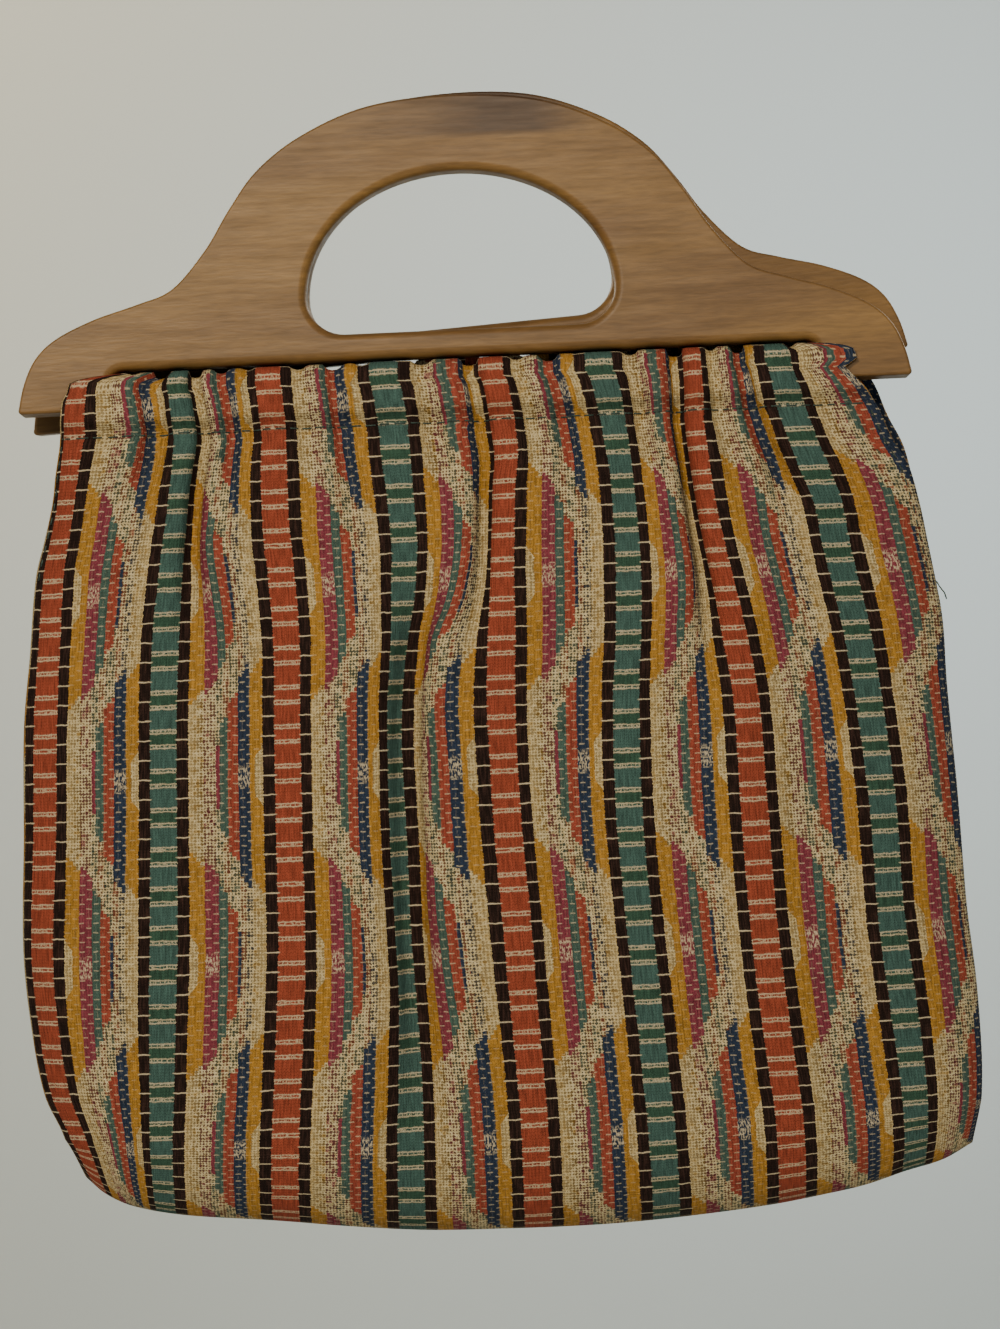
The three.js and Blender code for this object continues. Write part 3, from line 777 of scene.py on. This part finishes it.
# The back, which the photograph doesn't show: the same cloth carried on round the bottom, so its
# stripes stand where the front's do, evenly spread, with plain gathers of its own
backTracks = []
for row in frontTracks:
    left, right = row["left"], row["right"]
    even = {"z": row["z"], "left": left, "right": right}
    for i, name in enumerate(stripeNames):
        even[name] = mix(left, right, (weave["pitch"] * i - bag["leftEdge"]) / (bag["rightEdge"] - bag["leftEdge"]))
    backTracks.append(even)
backFolds = []
for i in range(19):
    backFolds.append({
        "by": 0, "top": 19.0 * i - 18, "foot": 19.0 * i - 18 + 5 * math.sin(i * 2.3), "wide": 4.0,
        "steep": 0.75 + 0.3 * math.sin(i * 1.7), "start": -50, "end": -150 - 40 * math.sin(i * 3.1)})

frontCloth = {"side": -1, "name": "front_cloth", "node": "front_panel", "tracks": frontTracks,
              "folds": frontFolds, "left": bag["leftEdge"], "right": bag["rightEdge"]}
backCloth = {"side": 1, "name": "back_cloth", "node": "back_panel", "tracks": backTracks,
             "folds": backFolds, "left": bag["leftEdge"], "right": bag["rightEdge"]}


def profileRows():
    # rows from the end of the inner flap, over the dowel, to the bottom seam
    rows = []
    for i in range(6):
        share = i / 6
        rows.append({"kind": "casing", "out": mix(bag["flapEnd"], -bag["casingBack"], smooth(0, 0.7, share)),
                     "up": mix(-bag["casingDrop"], -2.5, share), "turn": -100})
    for turn in range(-90, 91, 10):
        rows.append({"kind": "arch", "turn": turn})
    steps = 10
    for i in range(1, steps + 1):
        share = i / steps
        belly = bag["casingFront"] + 1.2 * math.sin(math.pi * min(share * 1.15, 1))
        rows.append({"kind": "casing", "out": mix(belly, bag["stitchOut"], smooth(0.6, 1, share)),
                     "up": mix(-1.5, -bag["casingDrop"], share), "turn": 100})
    count = round(bag["straight"] * bag["drop"] / bag["rowStep"])
    for i in range(1, count + 1):
        rows.append({"kind": "body", "down": i / count * bag["straight"], "turn": 0})
    for i in range(1, 19):
        rows.append({"kind": "body", "down": bag["straight"], "turn": 5 * i})
    return rows


# Depth of the bag by level, as a share of half its depth
depthRows = [
    {"down": 0.000, "depth": 0.550},
    {"down": 0.012, "depth": 0.610},
    {"down": 0.030, "depth": 0.650},
    {"down": 0.070, "depth": 0.680},
    {"down": 0.165, "depth": 0.745},
    {"down": 0.320, "depth": 0.820},
    {"down": 0.520, "depth": 0.910},
    {"down": 0.700, "depth": 0.985},
    {"down": 0.790, "depth": 1.000},
    {"down": 0.870, "depth": 0.980},
]


def bodyDepth(edge, isLeft, row, stitchDepth):
    # depth of the smooth bag, before its folds: edge runs from 0 in the middle to 1 at the side
    slit = bag["slitLeft"] if isLeft else bag["slitRight"]
    opening = max(0.0, 1 - row["down"] * bag["drop"] / slit)
    atEdge = max(bag["seamGap"], stitchDepth * opening ** 1.2)
    full = readTable(depthRows, "down", "depth", row["down"]) * bag["depth"] / 2
    depth = mix(atEdge, full, (1 - edge ** bag["sideCurve"]) ** bag["sideFullness"])
    return mix(bag["seamGap"], depth, math.cos(math.radians(row["turn"])))


def foldSlope(cloth, u, z):
    # how steeply the cloth runs inwards at a place across it, from all the folds there
    slope = 0.0
    for fold in cloth["folds"]:
        if not fold["end"] < z < fold["start"]:
            continue
        share = (fold["start"] - z) / (fold["start"] - fold["end"])
        middle = weave["pitch"] * fold["by"] + mix(fold["top"], fold["foot"], share)
        t = (u - middle) / fold["wide"]
        if abs(t) > 4:
            continue
        fade = smooth(0, 0.12, share) * (1 - smooth(0.55, 1, share))
        slope -= fold["steep"] * fade * t * math.exp(0.5 - 0.5 * t * t)
    drift = noise.noise(Vector((u / 16, z / 70, 3.0 * cloth["side"])))
    ripple = noise.noise(Vector((u / 7, z / 26, 9.0 * cloth["side"])))
    return slope + 0.22 * drift + 0.16 * ripple * (1 - 0.6 * smooth(-110, -200, z))


def placeRow(cloth, row, columns, place, level, stitchDepth):
    # all the points of one row, from the cloth's left edge to its right edge
    side = cloth["side"]
    if row["kind"] == "body":
        drop = row["down"] * bag["drop"]
        z = stitchLevel - drop
        trackZ = z if row["turn"] == 0 else mix(z, -398.0, math.sin(math.radians(row["turn"])))
    else:
        z = dowelLevel + row["up"] if row["kind"] == "casing" else dowelLevel
        trackZ = max(z, stitchLevel) if row["kind"] == "casing" else -74.0
    track = {key: readTable(cloth["tracks"], "z", key, trackZ)
             for key in ("left", "right", *stripeNames)}
    if row["kind"] == "arch":
        tilt = abs(row["turn"]) / 90
        track["left"] = -mix(133.0, 149.0, smooth(0.3, 1.0, tilt))
        track["right"] = mix(133.0, 147.0, smooth(0.3, 1.0, tilt))
        track["a"] = track["left"] + 1.6
    if row["kind"] == "casing" and row["turn"] < 0:
        track["left"], track["right"] = -150.0, 150.0
    anchors = [(cloth["left"], track["left"])]
    for i, name in enumerate(stripeNames):
        if track["left"] + 1 < track[name] < track["right"] - 3:
            anchors.append((weave["pitch"] * i, track[name]))
    anchors.append((cloth["right"], track["right"]))

    # the smooth line across at this level, and its length
    fine = 120
    line = []
    for i in range(fine + 1):
        x = mix(track["left"], track["right"], 0.5 - 0.5 * math.cos(math.pi * i / fine))
        half = -track["left"] if x < 0 else track["right"]
        edge = min(abs(x) / half, 1.0)
        if row["kind"] == "body":
            y = bodyDepth(edge, x < 0, row, stitchDepth)
        else:
            y = 0.0
        line.append((x, y, edge))
    lengths = [0.0]
    for a, b in zip(line, line[1:]):
        lengths.append(lengths[-1] + math.hypot(b[0] - a[0], b[1] - a[1]))
    xs = [p[0] for p in line]

    def lengthAt(x):
        i = min(max(bisect.bisect_right(xs, x) - 1, 0), fine - 1)
        return mix(lengths[i], lengths[i + 1], (x - xs[i]) / (xs[i + 1] - xs[i]))

    steeper = 1.15 if row["kind"] == "body" else 1.35
    slopes = [steeper * foldSlope(cloth, u, trackZ if row["kind"] != "arch" else -76.0) for u in columns]
    us = columns
    spent = [0.0]
    inward = [0.0]
    for j in range(len(us) - 1):
        step = us[j + 1] - us[j]
        angle = max(-1.35, min(1.35, (slopes[j] + slopes[j + 1]) / 2))
        spent.append(spent[-1] + math.cos(angle) * step)
        inward.append(inward[-1] + math.sin(angle) * step)
    tilt = (inward[-1] - inward[0]) / (us[-1] - us[0])
    inward = [value - tilt * (u - us[0]) for value, u in zip(inward, us)]
    # long drifts are levelled, so that the folds only go in and out about the smooth line
    reach = max(2, round(26 / bag["columnStep"]))
    levelled = []
    for j in range(len(us)):
        low, high = max(0, j - reach), min(len(us), j + reach + 1)
        levelled.append(inward[j] - sum(inward[low:high]) / (high - low))
    inward = levelled

    def spentAt(u):
        j = min(max(bisect.bisect_right(us, u) - 1, 0), len(us) - 2)
        return mix(spent[j], spent[j + 1], (u - us[j]) / (us[j + 1] - us[j]))

    marks = [(spentAt(u), lengthAt(x)) for u, x in anchors]
    points = []
    k = 0
    for j, u in enumerate(us):
        while k < len(marks) - 2 and spent[j] > marks[k + 1][0]:
            k += 1
        (s0, l0), (s1, l1) = marks[k], marks[k + 1]
        along = mix(l0, l1, (spent[j] - s0) / (s1 - s0))
        i = min(max(bisect.bisect_right(lengths, along) - 1, 0), fine - 1)
        share = (along - lengths[i]) / max(lengths[i + 1] - lengths[i], 1e-9)
        share = min(max(share, 0.0), 1.0)
        x = mix(line[i][0], line[i + 1][0], share)
        y = mix(line[i][1], line[i + 1][1], share)
        edge = mix(line[i][2], line[i + 1][2], share)
        run = Vector((line[i + 1][0] - line[i][0], line[i + 1][1] - line[i][1]))
        run.normalize()
        window = 1 - smooth(0.9, 1.0, edge)
        fold = inward[j] * window
        limit = bag["foldLimit"]
        if row["kind"] == "body":
            limit = mix(limit, 12.0, smooth(0, 0.12, row["down"]))
        if fold > 0:
            fold = limit * math.tanh(fold / limit)
        if row["kind"] == "body":
            fold *= math.cos(math.radians(row["turn"])) ** 0.5 if row["turn"] < 90 else 0.0
            bottom = readTable(bottomRows, "at", "down", math.copysign(edge, x))
            drop = mix(row["down"] * bag["drop"], bottom, math.sin(math.radians(row["turn"])))
            depth = y - fold * run.x
            point = Vector((x + fold * run.y, side * max(depth, bag["seamGap"]), stitchLevel - drop))
            swing = 1 - smooth(0, bag["slitLeft"], row["down"] * bag["drop"])
            still = Vector((point.x, 0, stitchLevel))
            moved = place @ still - level @ still
            point.x += moved.x * swing
            point.z += moved.z * swing
            points.append(point)
            continue
        atFoot = smooth(0.88, 0.97, abs(x) / notchHalf)
        if row["kind"] == "arch":
            angle = math.radians(row["turn"])
            wide = bag["casingFront"] if angle > 0 else mix(bag["casingBack"], 8.4, atFoot)
            square = mix(0.62, 0.4, atFoot)
            top = bag["casingTop"] - 0.5
            out = wide * math.sin(angle)
            up = top * math.cos(angle) ** square if math.cos(angle) > 1e-6 else 0.0
            push = -fold * 0.8 * (1 - 0.6 * atFoot)
            out += push * math.sin(angle)
            up += min(push * math.cos(angle), 0.15)  # the notch's roof is just above
        elif row["turn"] > 0:
            up = row["up"]
            share = mix(0.8, 0.95, smooth(0, -bag["casingDrop"], up))
            out = row["out"] - fold * share * (1 - 0.6 * atFoot)
        else:
            up = row["up"]
            out = row["out"] - 1.6 * atFoot * smooth(0, -4, row["out"])
        points.append(place @ Vector((x, side * out, dowelLevel + up)))
    return points


def makeCloth3d(cloth, material):
    side = cloth["side"]
    count = round((cloth["right"] - cloth["left"]) / bag["columnStep"])
    columns = [mix(cloth["left"], cloth["right"], j / count) for j in range(count + 1)]
    rows = profileRows()
    place = hangPlate(side, side > 0)
    level = hangPlate(side, False)
    stitchDepth = abs((level @ Vector((0, side * bag["stitchOut"], stitchLevel))).y)
    grid = [placeRow(cloth, row, columns, place, level, stitchDepth) for row in rows]
    middle = count // 2
    stitchRow = next(i for i, row in enumerate(rows) if row["kind"] == "body") - 1
    down = [0.0] * len(rows)
    down[stitchRow] = -stitchLevel
    for i in range(stitchRow + 1, len(rows)):
        step = (grid[i][middle] - grid[i - 1][middle]).length
        down[i] = down[i - 1] + (step if rows[i]["turn"] else bag["rowStep"] * 1.0)
    for i in range(stitchRow - 1, -1, -1):
        down[i] = down[i + 1] - (grid[i][middle] - grid[i + 1][middle]).length
    bm = bmesh.new()
    bmesh.ops.create_grid(bm, x_segments=count, y_segments=len(rows) - 1, size=1.0)
    bm.verts.ensure_lookup_table()
    uvLayer = bm.loops.layers.uv.new("weave")
    spots = {}
    for vert in bm.verts:
        j = round((vert.co.x + 1) / 2 * count)
        i = len(rows) - 1 - round((vert.co.y + 1) / 2 * (len(rows) - 1))
        spots[vert.index] = (columns[j], down[i])
        vert.co = grid[i][j] * mm
    for face in bm.faces:
        for loop in face.loops:
            u, v = spots[loop.vert.index]
            loop[uvLayer].uv = (u * mm, v * mm)
    if side > 0:
        bmesh.ops.reverse_faces(bm, faces=bm.faces)
    piece = pieceFromBmesh(cloth["name"], bm)
    wall = piece.modifiers.new("cloth_wall", "SOLIDIFY")
    wall.thickness = bag["thick"] * mm
    wall.offset = -1
    finishPiece(piece, [material])
    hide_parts(cloth["node"])
    sewSeams(cloth, grid, stitchRow)
    return piece


thread = {
    "thick": 0.55,  # mm, drawn a little thicker than real sewing thread so that it shows
    "proud": 0.2,  # of the cloth
    "columns": 3,  # from one stitch of the casing seam to the next
    "hemIn": 2,  # columns from the slit's edge to its hem stitches
    "tailAt": -163.0,
    "tail": [(0.0, 0.0), (1.2, -2.2), (2.9, -4.6), (3.6, -7.0)],  # how the loose end hangs
}


def sewSeams(cloth, grid, stitchRow):
    # stitches along the casing seam and down the hems of the slits, and one loose end
    side = cloth["side"]
    out = Vector((0, side * thread["proud"], 0))
    last = len(grid[0]) - 1
    runs = []
    for j in range(2, last - 3, thread["columns"]):
        runs.append([grid[stitchRow][k] + out for k in (j, j + 1, j + 2)])
    for j, slit in ((thread["hemIn"], bag["slitLeft"]), (last - thread["hemIn"], bag["slitRight"])):
        rows = round(slit / bag["rowStep"])
        for i in range(stitchRow + 1, stitchRow + rows, 2):
            runs.append([grid[i][j] + out, grid[i + 1][j] + out])
    if side < 0:
        row = min(grid, key=lambda points: abs(points[-1].z - thread["tailAt"]) if points[-1].y > -9 else 999)
        runs.append([row[-1] + Vector((x, -0.5, z)) for x, z in thread["tail"]])
    shape = bpy.data.curves.new(cloth["name"] + "_stitches", "CURVE")
    shape.dimensions = "3D"
    shape.bevel_depth = thread["thick"] / 2 * mm
    shape.bevel_resolution = 1
    shape.use_fill_caps = True
    for run in runs:
        line = shape.splines.new("POLY")
        line.points.add(len(run) - 1)
        for point, spot in zip(line.points, run):
            point.co = (*(spot * mm), 1)
    sewn = bpy.data.objects.new(shape.name + "_curve", shape)
    bpy.context.scene.collection.objects.link(sewn)
    bpy.context.view_layer.update()
    bm = bmesh.new()
    bm.from_mesh(bpy.data.meshes.new_from_object(sewn.evaluated_get(bpy.context.evaluated_depsgraph_get())))
    bpy.data.objects.remove(sewn)
    bmesh.ops.remove_doubles(bm, verts=bm.verts, dist=1e-6)
    bmesh.ops.recalc_face_normals(bm, faces=bm.faces)
    finishPiece(pieceFromBmesh(cloth["name"] + "_stitches", bm), [threadGreen])


makeCloth3d(frontCloth, clothWoven)
makeCloth3d(backCloth, clothWoven)
print("cloth made")


# Floor, backdrop and lights

studio = {
    "floor": -1.25,
    "wall": 2.7,
    "floorColour": "#cfcfc8",
    "wallColour": "#c9ccc5",
}


def addPlane(name, size, place, tilt, hexColour):
    bm = bmesh.new()
    bmesh.ops.create_grid(bm, x_segments=1, y_segments=1, size=size)
    bmesh.ops.rotate(bm, verts=bm.verts, cent=(0, 0, 0), matrix=Matrix.Rotation(tilt, 3, "X"))
    bmesh.ops.translate(bm, verts=bm.verts, vec=place)
    piece = pieceFromBmesh(name, bm)
    material, tree = newMaterial(name + "_painted")
    shader = addNode(tree, "BsdfPrincipled", {"Base Color": toLinear(hexColour), "Roughness": 0.7})
    addNode(tree, "OutputMaterial", [shader])
    piece.data.materials.append(material)
    return piece


def addLight(name, place, target, size, power, hexColour):
    light = bpy.data.lights.new(name, "AREA")
    light.shape = "DISK"
    light.size = size
    light.energy = power
    light.color = toLinear(hexColour)[:3]
    lamp = bpy.data.objects.new(name, light)
    lamp.location = place
    lamp.rotation_euler = (Vector(target) - Vector(place)).to_track_quat("-Z", "Y").to_euler()
    bpy.context.scene.collection.objects.link(lamp)


addPlane("floor", 5.0, (0, 0, studio["floor"]), 0.0, studio["floorColour"])
addPlane("backdrop", 5.0, (0, studio["wall"], 0), math.radians(90), studio["wallColour"])
addLight("key", (-0.50, -1.45, 0.58), (0, 0, -0.18), 0.40, 25, "#fff1dc")
addLight("lamp", (0.075, -1.20, 0.25), (0.05, 0, -0.05), 0.12, 4.5, "#ffeccf")
addLight("fill", (1.4, -1.5, -0.1), (0, 0, -0.2), 1.2, 3, "#eef3ff")
addLight("low", (0.1, -1.3, -1.0), (0, 0, -0.1), 0.8, 2.5, "#f2efe6")
addLight("rear_left", (-1.2, 1.3, 0.5), (0, 0, -0.2), 0.8, 14, "#fff1dc")
addLight("rear_right", (1.2, 1.3, 0.5), (0, 0, -0.2), 0.8, 14, "#fff1dc")
addLight("wall_warm", (-1.2, 1.5, 1.3), (-0.5, 2.7, 0.5), 1.0, 24, "#ffe2ae")
addLight("wall_cool", (0.6, 1.5, 0.2), (0.3, 2.7, -0.1), 1.2, 17, "#cfe9ff")
world = bpy.data.worlds.new("room")
world.use_nodes = True
world.node_tree.nodes["Background"].inputs["Color"].default_value = toLinear("#dfe3e2")
world.node_tree.nodes["Background"].inputs["Strength"].default_value = 0.38
bpy.context.scene.world = world
print("studio made")
